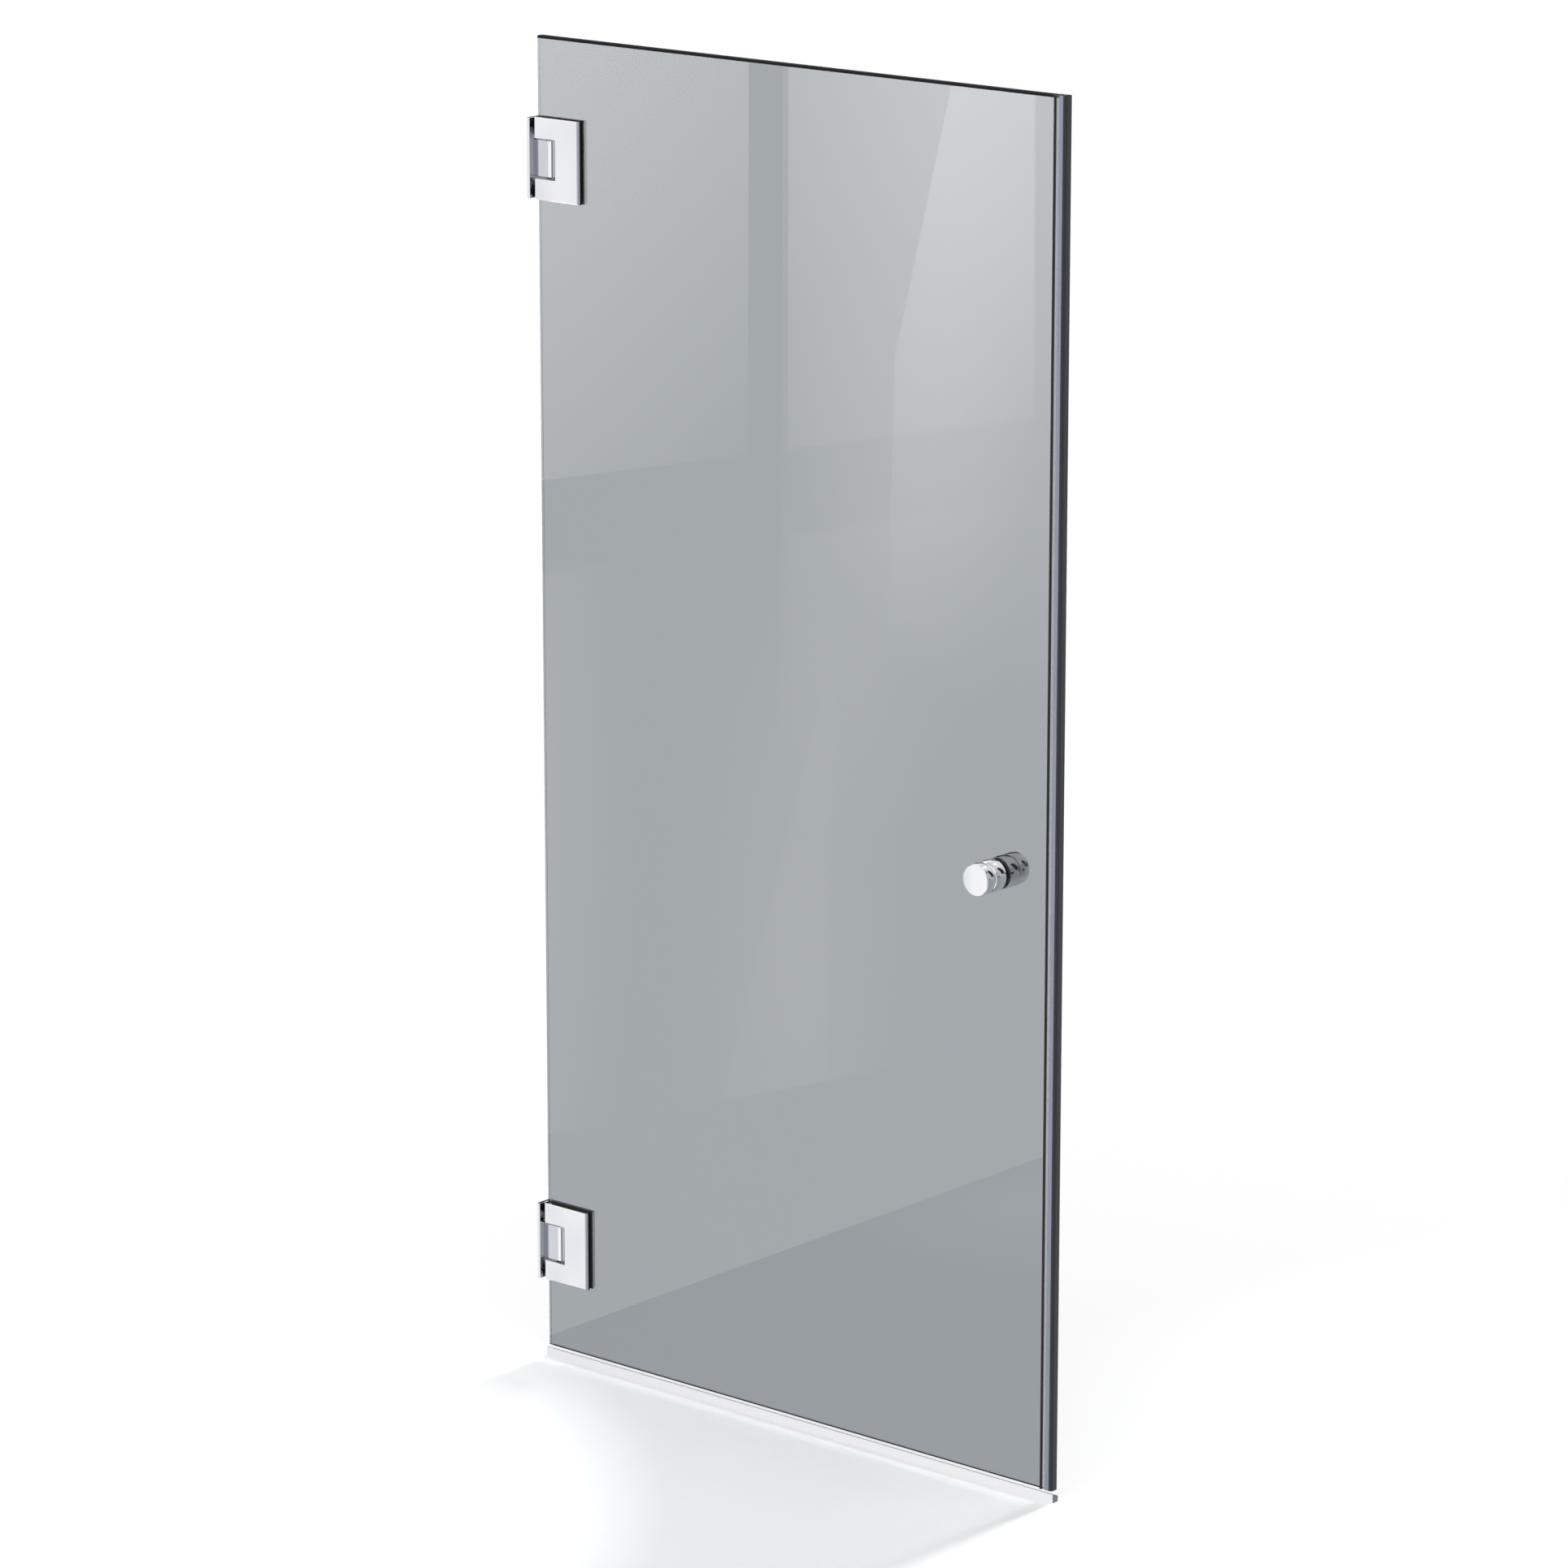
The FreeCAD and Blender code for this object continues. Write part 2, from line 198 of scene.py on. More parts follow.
@dataclass(frozen=True)
class ToughenedGreyGlass(Finish):
    """Grey body-tinted float glass, toughened, with ground arrises and a ground top edge: the
    face is clear and reflects sharply, and the top rim is painted near black, a painted shade."""

    refraction: float = 1.52
    tint: str = "#7B8A94"
    density: float = 100.0
    arris_slope: float = math.sqrt(0.5)
    slope_leeway: float = 0.2
    arris_roughness: float = 0.1
    rim_from: float = 1691.6 * MM
    # The top rim's near-black colour is painted shade.
    rim_shade_colour: str = "#0B0C0E"
    lamp_pass: str = "#F6F8F8"

    def shaders(self, tree: bpy.types.NodeTree) -> dict[str, bpy.types.Node]:
        """Makes glass with an absorbing body, which lets the lamps' light through.

        Args:
            tree: The material's tree.

        Returns:
            The surface and the volume.
        """
        coordinates = add_node(tree, "ShaderNodeTexCoord").outputs
        facing = add_node(tree, "ShaderNodeSeparateXYZ", {"Vector": coordinates["Normal"]})
        place = add_node(tree, "ShaderNodeSeparateXYZ", {"Vector": coordinates["Object"]})
        slope = add_node(tree, "ShaderNodeMath", {0: facing.outputs["Y"]}, operation="ABSOLUTE")
        arris = add_node(
            tree,
            "ShaderNodeMath",
            {0: slope, 1: self.arris_slope, 2: self.slope_leeway},
            operation="COMPARE",
        )
        rim = add_node(
            tree,
            "ShaderNodeMath",
            {0: place.outputs["Z"], 1: self.rim_from},
            operation="GREATER_THAN",
        )
        roughness = add_node(
            tree,
            "ShaderNodeMath",
            {0: arris, 1: self.arris_roughness, 2: rim},
            operation="MULTIPLY_ADD",
        )
        # Painted shade: the rim above rim_from takes the near-black colour.
        colours = {0: rim, 6: linear("#FFFFFF"), 7: linear(self.rim_shade_colour)}
        colour = add_node(tree, "ShaderNodeMix", colours, data_type="RGBA").outputs[2]
        glass = add_node(
            tree,
            "ShaderNodeBsdfPrincipled",
            {
                "Base Color": colour,
                "Roughness": roughness,
                "IOR": self.refraction,
                "Transmission Weight": 1.0,
            },
        )
        lamp = add_node(tree, "ShaderNodeBsdfTransparent", {"Color": linear(self.lamp_pass)})
        shadow = add_node(tree, "ShaderNodeLightPath").outputs["Is Shadow Ray"]
        return {
            "Surface": add_node(tree, "ShaderNodeMixShader", {0: shadow, 1: glass, 2: lamp}),
            "Volume": add_node(
                tree,
                "ShaderNodeVolumeAbsorption",
                {"Color": linear(self.tint), "Density": self.density},
            ),
        }


@dataclass(frozen=True)
class Metal(Finish):
    """A metal with a fine grain in its gloss, over the slow waves that polishing leaves."""

    colour: str
    smooth: float
    rough: float
    grain: float
    stretch: tuple[float, float, float] = (1.0, 1.0, 1.0)
    relief: float = 0.02
    wave_length: float = 60 * MM
    wave_height: float = 0.1 * MM
    grain_height: float = 0.1 * MM
    grain_levels: tuple[float, float] = (0.3, 0.7)

    def shaders(self, tree: bpy.types.NodeTree) -> dict[str, bpy.types.Node]:
        """Makes metal with noise in its roughness and relief.

        Args:
            tree: The material's tree.

        Returns:
            The surface.
        """
        place = add_node(tree, "ShaderNodeTexCoord").outputs["Object"]
        along = add_node(tree, "ShaderNodeMapping", {"Vector": place, "Scale": self.stretch})
        grain = add_node(
            tree, "ShaderNodeTexNoise", {"Vector": along, "Scale": 1 / self.grain, "Detail": 3.0}
        )
        waves = add_node(
            tree,
            "ShaderNodeTexNoise",
            {"Vector": place, "Scale": 1 / self.wave_length, "Detail": 0.0},
        )
        roughness = add_node(
            tree,
            "ShaderNodeMapRange",
            {
                "Value": grain,
                "From Min": self.grain_levels[0],
                "From Max": self.grain_levels[1],
                "To Min": self.smooth,
                "To Max": self.rough,
            },
        )
        waved = add_node(tree, "ShaderNodeBump", {"Height": waves, "Distance": self.wave_height})
        grained = add_node(
            tree,
            "ShaderNodeBump",
            {
                "Height": grain,
                "Strength": self.relief,
                "Distance": self.grain_height,
                "Normal": waved,
            },
        )
        metal = add_node(
            tree,
            "ShaderNodeBsdfPrincipled",
            {
                "Base Color": self.base(tree),
                "Metallic": 1.0,
                "Roughness": roughness,
                "Normal": grained,
            },
        )
        return {"Surface": metal}

    def base(self, tree: bpy.types.NodeTree) -> tuple | bpy.types.NodeSocket:
        """Gives the base colour."""
        return linear(self.colour)


@dataclass(frozen=True)
class SquareShadedMetal(Metal):
    """A metal whose faces that lie square to one axis are painted a darker colour: a painted
    shade.
    """

    axis: str = "X"
    square_shade_colour: str = "#8E9090"
    # The darker colour painted on the square faces, a painted shade.
    squareness: float = 0.9

    def base(self, tree: bpy.types.NodeTree) -> bpy.types.NodeSocket:
        """Mixes the colour with the painted shade on the faces square to the axis.

        Args:
            tree: The material's tree.

        Returns:
            The colour's output.
        """
        facing = add_node(tree, "ShaderNodeTexCoord").outputs["Normal"]
        along = add_node(tree, "ShaderNodeSeparateXYZ", {"Vector": facing}).outputs[self.axis]
        slope = add_node(tree, "ShaderNodeMath", {0: along}, operation="ABSOLUTE")
        # Painted shade: the faces square to the axis take the darker colour.
        square = add_node(
            tree, "ShaderNodeMath", {0: slope, 1: self.squareness}, operation="GREATER_THAN"
        )
        colours = {0: square, 6: linear(self.colour), 7: linear(self.square_shade_colour)}
        return add_node(tree, "ShaderNodeMix", colours, data_type="RGBA").outputs[2]


@dataclass(frozen=True)
class Moulded(Finish):
    """A moulded or extruded rubber or plastic, with a fine skin."""

    colour: str
    roughness: float
    refraction: float
    grain: float
    relief: float = 0.1
    clear: float = 0.0
    unevenness: float = 0.15
    grain_height: float = 0.05 * MM

    def shaders(self, tree: bpy.types.NodeTree) -> dict[str, bpy.types.Node]:
        """Makes a skin with a fine relief.

        Args:
            tree: The material's tree.

        Returns:
            The surface.
        """
        place = add_node(tree, "ShaderNodeTexCoord").outputs["Object"]
        grain = add_node(
            tree, "ShaderNodeTexNoise", {"Vector": place, "Scale": 1 / self.grain, "Detail": 2.0}
        )
        roughness = add_node(
            tree,
            "ShaderNodeMapRange",
            {
                "Value": grain,
                "To Min": self.roughness * (1 - self.unevenness),
                "To Max": self.roughness * (1 + self.unevenness),
            },
        )
        bump = add_node(
            tree,
            "ShaderNodeBump",
            {"Height": grain, "Strength": self.relief, "Distance": self.grain_height},
        )
        skin = add_node(
            tree,
            "ShaderNodeBsdfPrincipled",
            {
                "Base Color": linear(self.colour),
                "Roughness": roughness,
                "IOR": self.refraction,
                "Transmission Weight": self.clear,
                "Normal": bump,
            },
        )
        return {"Surface": skin}


GREY_GLASS = ToughenedGreyGlass("toughened grey float glass", Slot.GLASS)
PLATING = {
    "slot": Slot.CHROME,
    "colour": "#F5F6F8",
    "smooth": 0.035,
    "rough": 0.07,
    "grain": 2.5 * MM,
    "wave_height": 0.8 * MM,
}
# Plated and polished to a mirror: the room shows in it, bent a little by the waves of polishing
CHROME = Metal("chrome plated brass", **PLATING)
# The same plating on the pivot block, its flats painted light grey beside the brighter barrel:
# painted shade
BLOCK_CHROME = SquareShadedMetal(
    "chrome plated pivot block", **PLATING, axis="Y", square_shade_colour="#D8DADF", squareness=0.995
)
# Ground bar: a satin sheen with a fine grain round it
STEEL = Metal(
    "ground stainless steel",
    Slot.STEEL,
    "#B9BABC",
    smooth=0.16,
    rough=0.3,
    grain=0.6 * MM,
    relief=0.1,
)
# Moulded EPDM: soft black that drinks the light, with a dull bloom on its edges
GASKET = Moulded(
    "moulded black EPDM",
    Slot.GASKET,
    "#0C0C0E",
    roughness=0.5,
    refraction=1.52,
    grain=0.5 * MM,
)
# Turned natural nylon: milky, with a waxy gloss
NYLON = Moulded(
    "turned natural nylon",
    Slot.NYLON,
    "#DADCDD",
    roughness=0.3,
    refraction=1.53,
    grain=0.8 * MM,
    clear=0.3,
)
# Extruded PVC, water clear: the glass shows through it with a faint gloss over it
CLEAR_SEAL = Moulded(
    "extruded clear PVC",
    Slot.CLEAR_SEAL,
    "#FAFBFD",
    roughness=0.03,
    refraction=1.5,
    grain=3 * MM,
    relief=0.0,
    clear=1.0,
)
# The same PVC where it is thick, at the heel: milky blue grey
THICK_SEAL = Moulded(
    "thick clear PVC",
    Slot.CLEAR_SEAL,
    "#9FA5B8",
    roughness=0.25,
    refraction=1.5,
    grain=3 * MM,
    relief=0.02,
)
# Dark soft extruded PVC: even, near black, with a broad dull gloss
DARK_SEAL = Moulded(
    "extruded dark soft PVC",
    Slot.DARK_SEAL,
    "#2E2F33",
    roughness=0.35,
    refraction=1.5,
    grain=0.6 * MM,
)
# Drawn aluminium with sawn ends: bright and silky along the bar, and painted grey where it is cut,
# a painted shade on the ends
ALUMINIUM = SquareShadedMetal(
    "bright drawn aluminium",
    Slot.ALUMINIUM,
    "#FFFFFF",
    smooth=0.34,
    rough=0.46,
    grain=0.4 * MM,
    stretch=(0.05, 1.0, 1.0),
    relief=0.05,
)


def new_object(
    name: str, shape: bmesh.types.BMesh, material: bpy.types.Material
) -> bpy.types.Object:
    """Turns a shape into an object of the scene.

    Args:
        name: The object's name.
        shape: The shape, which is freed.
        material: The object's first material.

    Returns:
        The object.
    """
    mesh = bpy.data.meshes.new(name)
    shape.to_mesh(mesh)
    shape.free()
    mesh.materials.append(material)
    thing = bpy.data.objects.new(name, mesh)
    bpy.context.scene.collection.objects.link(thing)
    return thing


def put_in_order(shape: bmesh.types.BMesh) -> None:
    """Sorts a shape's points and faces by their place, so that each run gives the same mesh.

    Args:
        shape: The shape.
    """
    for items, place in (
        (shape.verts, lambda vert: tuple(vert.co)),
        (shape.faces, lambda face: tuple(face.calc_center_median())),
    ):
        ranks = {item: rank for rank, item in enumerate(sorted(items, key=place))}
        items.sort(key=ranks.get)


def finished_piece(
    name: str, shape: bmesh.types.BMesh, finish: Finish, body: Body
) -> bpy.types.Object:
    """Turns a shape into a dressed piece that rides on a body.

    Args:
        name: The piece's name.
        shape: The shape, which is freed.
        finish: Its finish.
        body: The body it rides on.

    Returns:
        The piece.
    """
    bmesh.ops.remove_doubles(shape, verts=shape.verts, dist=MERGE_DISTANCE)
    bmesh.ops.recalc_face_normals(shape, faces=shape.faces)
    put_in_order(shape)
    piece = new_object(name, shape, finish.material())
    piece.data.set_sharp_from_angle(angle=SHARP_ANGLE)
    piece.data.polygons.foreach_set("use_smooth", [True] * len(piece.data.polygons))
    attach(piece, body.value)
    return piece


def grown(extrusion: dict) -> tuple[list[bmesh.types.BMVert], list[bmesh.types.BMEdge]]:
    """Sorts out what an extrusion made.

    Args:
        extrusion: What the operator gave back.

    Returns:
        Its new vertices and its new edges.
    """
    verts = [item for item in extrusion["geom"] if isinstance(item, bmesh.types.BMVert)]
    edges = [item for item in extrusion["geom"] if isinstance(item, bmesh.types.BMEdge)]
    return verts, edges


def turned(shape: bmesh.types.BMesh, edges: list, rings: list[tuple[float, float]]) -> list:
    """Turns a loop of edges about Z through a row of rings.

    Args:
        shape: The shape to add to.
        edges: The loop that it starts from, round the Z axis.
        rings: The radius and the height of each ring.

    Returns:
        The last ring's edges.
    """
    for radius, height in rings:
        verts, edges = grown(bmesh.ops.extrude_edge_only(shape, edges=edges))
        for vert in verts:
            flat = Vector((vert.co.x, vert.co.y)).normalized() * radius
            vert.co = (flat.x, flat.y, height)
    return edges


def arc_between(start: tuple, stop: tuple, bulge: float, steps: int) -> list[tuple[float, float]]:
    """Points on an arc between two points of a profile.

    Args:
        start: The first point.
        stop: The last point.
        bulge: How far the arc stands out from its chord, to the right of its direction.
        steps: The number of stretches.

    Returns:
        The points after the first, up to the last.
    """
    a, b = Vector(start), Vector(stop)
    chord = b - a
    out = Vector((chord.y, -chord.x)).normalized()
    radius = (chord.length**2 / 4 + bulge**2) / (2 * bulge)
    centre = (a + b) / 2 + out * (bulge - radius)
    half = math.asin(chord.length / 2 / radius)
    points = []
    for step in range(1, steps + 1):
        turn = (2 * step / steps - 1) * half
        spoke = out * math.cos(turn) + chord.normalized() * math.sin(turn)
        points.append(tuple(centre + spoke * radius))
    return points


@dataclass
class CountersunkScrews:
    """A pattern of flat-headed socket screws that sit flush in a plate."""

    name: str
    body: Body
    places: list[Vector]
    outward: Vector
    head: float
    shank: float
    length: float
    socket: float = 3.2 * MM
    socket_depth: float = 1.6 * MM
    rim: float = 0.15 * MM
    sides: int = 48

    def screw(self) -> bmesh.types.BMesh:
        """Models one screw whose head is flush with the plane of the axes.

        Returns:
            The screw's shape, with its shank along -Z.
        """
        shape = bmesh.new()
        bmesh.ops.create_circle(shape, segments=6, radius=self.socket / 2)
        bmesh.ops.subdivide_edges(shape, edges=shape.edges, cuts=self.sides // 6 - 1)
        hexagon_edges = list(shape.edges)
        ring = bmesh.ops.create_circle(shape, segments=self.sides, radius=self.head / 2 - self.rim)
        ring_edges = [edge for edge in shape.edges if edge.verts[0] in ring["verts"]]
        bmesh.ops.bridge_loops(shape, edges=hexagon_edges + ring_edges)
        shank = self.shank / 2
        rings = [
            (self.head / 2, -self.rim),
            (shank, -self.rim - self.head / 2 + shank),
            (shank, self.rim - self.length),
            (shank - self.rim, -self.length),
        ]
        bmesh.ops.edgeloop_fill(shape, edges=turned(shape, ring_edges, rings))
        verts, edges = grown(bmesh.ops.extrude_edge_only(shape, edges=hexagon_edges))
        bmesh.ops.translate(shape, verts=verts, vec=(0, 0, -self.socket_depth))
        bmesh.ops.edgeloop_fill(shape, edges=edges)
        return shape

    def build(self) -> bpy.types.Object:
        """Sets a screw in each place.

        Returns:
            The screws, as one piece.
        """
        joined = bmesh.new()
        turn = self.outward.to_track_quat("Z", "Y").to_matrix().to_4x4()
        for place in self.places:
            screw = self.screw()
            bmesh.ops.transform(screw, matrix=Matrix.Translation(place) @ turn, verts=screw.verts)
            copy = bpy.data.meshes.new("screw")
            screw.to_mesh(copy)
            screw.free()
            joined.from_mesh(copy)
            bpy.data.meshes.remove(copy)
        return finished_piece(self.name, joined, STEEL, self.body)


@dataclass
class Hinge:
    """A clamp hinge: chrome halves on gaskets, a pivot block on its wall plate, and screws."""

    name: str
    wall_screw_spacing: tuple[float, float] = (18 * MM, 74 * MM)
    clamp_screw_from_wall: float = 46 * MM
    clamp_screw_rise: float = 33.75 * MM
    wall_screw_head: float = 10.2 * MM
    clamp_screw_head: float = 9.2 * MM
    screw_shank: float = 4.1 * MM
    clamp_screw_length: float = 21 * MM

    def dress(self) -> None:
        """Gives the hinge's nodes their finishes."""
        for part in ("wall_plate", "front_clamp_plate", "back_clamp_plate"):
            CHROME.dress_node(f"{self.name}_{part}")
        BLOCK_CHROME.dress_node(f"{self.name}_pivot_block")
        for part in ("front_gasket", "back_gasket"):
            GASKET.dress_node(f"{self.name}_{part}")
        STEEL.dress_node(f"{self.name}_pivot_pin")

    def screws(self) -> list[bpy.types.Object]:
        """Models the wall screws and the clamp screws.

        Returns:
            Both pieces.
        """
        low, high = (Vector(corner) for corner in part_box(f"{self.name}_wall_plate"))
        centre = (low + high) / 2
        half_y, half_z = (spacing / 2 for spacing in self.wall_screw_spacing)
        wall_places = [
            Vector((high.x, centre.y + i * half_y, centre.z + j * half_z))
            for i in (-1, 1)
            for j in (-1, 1)
        ]
        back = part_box(f"{self.name}_back_clamp_plate")[1][1]
        clamp_places = [
            Vector((self.clamp_screw_from_wall, back, centre.z + j * self.clamp_screw_rise))
            for j in (-1, 1)
        ]
        plate = high.x - low.x
        return [
            CountersunkScrews(
                f"{self.name}_wall_screws",
                Body.WALL_SIDE,
                wall_places,
                Vector((1, 0, 0)),
                self.wall_screw_head,
                self.screw_shank,
                plate,
            ).build(),
            CountersunkScrews(
                f"{self.name}_clamp_screws",
                Body.DOOR_LEAF,
                clamp_places,
                Vector((0, 1, 0)),
                self.clamp_screw_head,
                self.screw_shank,
                self.clamp_screw_length,
            ).build(),
        ]


@dataclass
class TurnedKnob:
    """A turned knob of two crowned drums with a waist between them."""

    node: str
    side: Side
    base_radius: float = 21.1 * MM
    shoulder_radius: float = 21.2 * MM
    crown: float = 0.85 * MM
    waist_radius: float = 20.0 * MM
    waist_from_face: float = 18 * MM
    waist_width: float = 4.6 * MM
    waist_roll: float = 0.12 * MM
    rim: float = 2.0 * MM
    rim_step: float = 1.7 * MM
    rim_roll: float = 0.66 * MM
    face_radius: float = 19.7 * MM
    front_crown: float = 0.595 * MM
    foot: float = 0.3 * MM
    drum_steps: tuple[int, int] = (10, 8)
    waist_steps: int = 3
    rim_steps: int = 6
    sides: int = 96

    def profile(self, length: float) -> list[tuple[float, float]]:
        """Draws half the knob's section.

        Args:
            length: The knob's length.

        Returns:
            Radii and heights, from the foot to the edge of the face.
        """
        waist = length - self.waist_from_face
        low, high = waist - self.waist_width / 2, waist + self.waist_width / 2
        stretches = (
            ((self.shoulder_radius, low), self.crown, self.drum_steps[0]),
            ((self.waist_radius, waist), self.waist_roll, self.waist_steps),
            ((self.shoulder_radius, high), self.waist_roll, self.waist_steps),
            (
                (self.face_radius + self.rim_step, length - self.rim),
                self.front_crown,
                self.drum_steps[1],
            ),
            ((self.face_radius, length), self.rim_roll, self.rim_steps),
        )
        points = [(self.base_radius - self.foot, 0.0), (self.base_radius, self.foot)]
        for stop, bulge, steps in stretches:
            points += arc_between(points[-1], stop, bulge, steps)
        return points

    def build(self) -> bpy.types.Object:
        """Turns the knob and puts it in the node's place.

        Returns:
            The knob.
        """
        low, high = (Vector(corner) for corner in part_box(self.node))
        length = high.y - low.y
        profile = self.profile(length)
        shape = bmesh.new()
        bmesh.ops.create_circle(shape, segments=self.sides, radius=profile[0][0])
        edges = list(shape.edges)
        bmesh.ops.edgeloop_fill(shape, edges=edges)
        bmesh.ops.edgeloop_fill(shape, edges=turned(shape, edges, profile[1:]))
        foot = high.y if self.side is Side.FRONT else low.y
        place = Vector(((low.x + high.x) / 2, foot, (low.z + high.z) / 2))
        turn = Matrix.Rotation(math.radians(90 if self.side is Side.FRONT else -90), 4, "X")
        bmesh.ops.transform(shape, matrix=Matrix.Translation(place) @ turn, verts=shape.verts)
        piece = finished_piece(f"{self.node}_turned", shape, CHROME, Body.DOOR_LEAF)
        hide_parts(self.node)
        return piece


@dataclass
class ClearSealChannel:
    """The clear channel on the closing edge, with a bead along each lip, the front one and the lip
    beside it painted dark as painted shade. A film of air parts it from the glass, so that light
    passes through both."""

    node: str = "closing_seal_channel"
    lip_start: float = 897.7 * MM
    bead_radius: float = 1.2 * MM
    wall: float = 1 * MM
    air: float = 0.05 * MM
    clear_from: float = 900.4 * MM
    clear_to: float = 904.9 * MM
    arc_steps: int = 6
    cut_slope: float = 0.5
    skins: tuple[Finish, ...] = (CLEAR_SEAL, THICK_SEAL, DARK_SEAL)

    def half_section(self, edge: float, face: float) -> list[tuple[float, float]]:
        """Draws the half of the section on the +Y side.

        Args:
            edge: The glass edge's place along X.
            face: The glass face's place along Y.

        Returns:
            Places along X and Y, from the inside of the heel round the bead to its outside.
        """
        inner, outer = face + self.air, face + self.wall
        heel = edge + self.wall - self.air
        radius = self.bead_radius - self.air / 2
        centre = Vector((self.lip_start, inner + radius))
        meets = math.asin((outer - centre.y) / radius)
        turns = (-math.pi / 2, -math.pi, -3 * math.pi / 2, meets - 2 * math.pi)
        points = [(edge + self.air, 0.0), (edge + self.air, inner)]
        points += [(x, inner) for x in (self.clear_to, self.clear_from, self.lip_start)]
        for before, turn in zip(turns, turns[1:]):
            stop = centre + Vector((math.cos(turn), math.sin(turn))) * radius
            bulge = radius * (math.cos((before - turn) / 2) - 1)
            points += arc_between(points[-1], tuple(stop), bulge, self.arc_steps)
        points += [(x, outer) for x in (self.clear_from, self.clear_to, heel)]
        return points + [(heel, 0.0)]

    def skin_of(self, face: bmesh.types.BMFace) -> Finish:
        """Picks a face's finish.

        Args:
            face: The face.

        Returns:
            Thick at the heel and the cut ends, painted dark at the front bead as painted shade,
            and clear elsewhere.
        """
        x, y, _ = face.calc_center_median()
        is_cut = abs(face.normal.z) > self.cut_slope
        if is_cut or x > self.clear_to:
            return THICK_SEAL
        # Painted shade: the front bead and the lip up to clear_from take the dark PVC.
        if x < self.clear_from and y < 0:
            return DARK_SEAL
        return CLEAR_SEAL

    def build(self) -> bpy.types.Object:
        """Extrudes the channel in the node's place.

        Returns:
            The channel.
        """
        bottom, top = (corner[2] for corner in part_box(self.node))
        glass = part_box("door_glass")[1]
        half = self.half_section(glass[0], glass[1])
        section = half + [(x, -y) for x, y in reversed(half[1:-1])]
        shape = bmesh.new()
        face = shape.faces.new([shape.verts.new((x, y, bottom)) for x, y in section])
        verts, _ = grown(bmesh.ops.extrude_face_region(shape, geom=[face]))
        bmesh.ops.translate(shape, verts=verts, vec=(0, 0, top - bottom))
        shape.normal_update()
        for face in shape.faces:
            face.material_index = self.skins.index(self.skin_of(face))
        piece = finished_piece("closing_seal_extrusion", shape, self.skins[0], Body.DOOR_LEAF)
        for skin in self.skins[1:]:
            piece.data.materials.append(skin.material())
        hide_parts(self.node)
        return piece


@dataclass
class Leaf:
    """The glass leaf with its knob fixings, its closing seal and the bar on the floor."""

    finishes: dict[str, Finish] = field(
        default_factory=lambda: {
            "door_glass": GREY_GLASS,
            "outer_knob_bush": NYLON,
            "inner_knob_bush": NYLON,
            "knob_stud": STEEL,
            "closing_seal_nose": DARK_SEAL,
            "threshold_bar": ALUMINIUM,
        }
    )

    def dress(self) -> None:
        """Gives each node its finish."""
        for node, finish in self.finishes.items():
            finish.dress_node(node)


@dataclass(frozen=True)
class Glow:
    """A soft spot of light: its middle, how far it reaches along each axis, with 0 where it
    stays the same along that axis, and how much it adds."""

    middle: tuple[float, float, float]
    reach: tuple[float, float, float]
    strength: float

    def add_to(self, tree: bpy.types.NodeTree, level: float | bpy.types.Node) -> bpy.types.Node:
        """Adds the spot to a level.

        Args:
            tree: The material's tree.
            level: The level without it.

        Returns:
            The node whose first output is the sum.
        """
        place = add_node(tree, "ShaderNodeTexCoord").outputs["Object"]
        scale = Vector([1 / reach if reach else 0.0 for reach in self.reach])
        centred = add_node(
            tree,
            "ShaderNodeMapping",
            {"Vector": place, "Location": -scale * Vector(self.middle), "Scale": scale},
        )
        spot = add_node(
            tree, "ShaderNodeTexGradient", {"Vector": centred}, gradient_type="SPHERICAL"
        )
        return add_node(
            tree,
            "ShaderNodeMath",
            {0: spot.outputs["Fac"], 1: self.strength, 2: level},
            operation="MULTIPLY_ADD",
        )


def card_glow(y: float, z: float, reach_y: float, reach_z: float, strength: float) -> Glow:
    """A spot of light on an upright card across X."""
    return Glow((0.0, y, z), (0.0, reach_y, reach_z), strength)


@dataclass(frozen=True)
class SoftboxLayer:
    """A layer of the lit panel beside the door, seen only where something mirrors it sharply. The
    panel is one opaque layer, with clear ones before it that add light to parts of it."""

    name: str
    corners: tuple[tuple[float, float, float], ...]
    level: float
    glows: tuple[Glow, ...] = ()
    opaque: bool = False

    def material(self) -> bpy.types.Material:
        """Makes the layer's light.

        Returns:
            The material.
        """
        material = new_material(self.name)
        tree = material.node_tree
        level = self.level
        for glow in self.glows:
            level = glow.add_to(tree, level)
        clear = add_node(tree, "ShaderNodeBsdfTransparent")
        light = add_node(tree, "ShaderNodeEmission", {"Strength": level})
        if not self.opaque:
            light = add_node(tree, "ShaderNodeAddShader", {0: clear, 1: light})
        sharp = add_node(tree, "ShaderNodeLightPath").outputs["Is Singular Ray"]
        shown = add_node(tree, "ShaderNodeMixShader", {0: sharp, 1: clear, 2: light})
        add_node(tree, "ShaderNodeOutputMaterial", {"Surface": shown})
        return material

    def build(self) -> bpy.types.Object:
        """Makes the layer.

        Returns:
            The layer.
        """
        shape = bmesh.new()
        shape.faces.new([shape.verts.new(corner) for corner in self.corners])
        layer = new_object(self.name, shape, self.material())
        layer.visible_camera = False
        layer.visible_diffuse = False
        layer.visible_transmission = False
        layer.visible_shadow = False
        layer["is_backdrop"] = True
        return layer


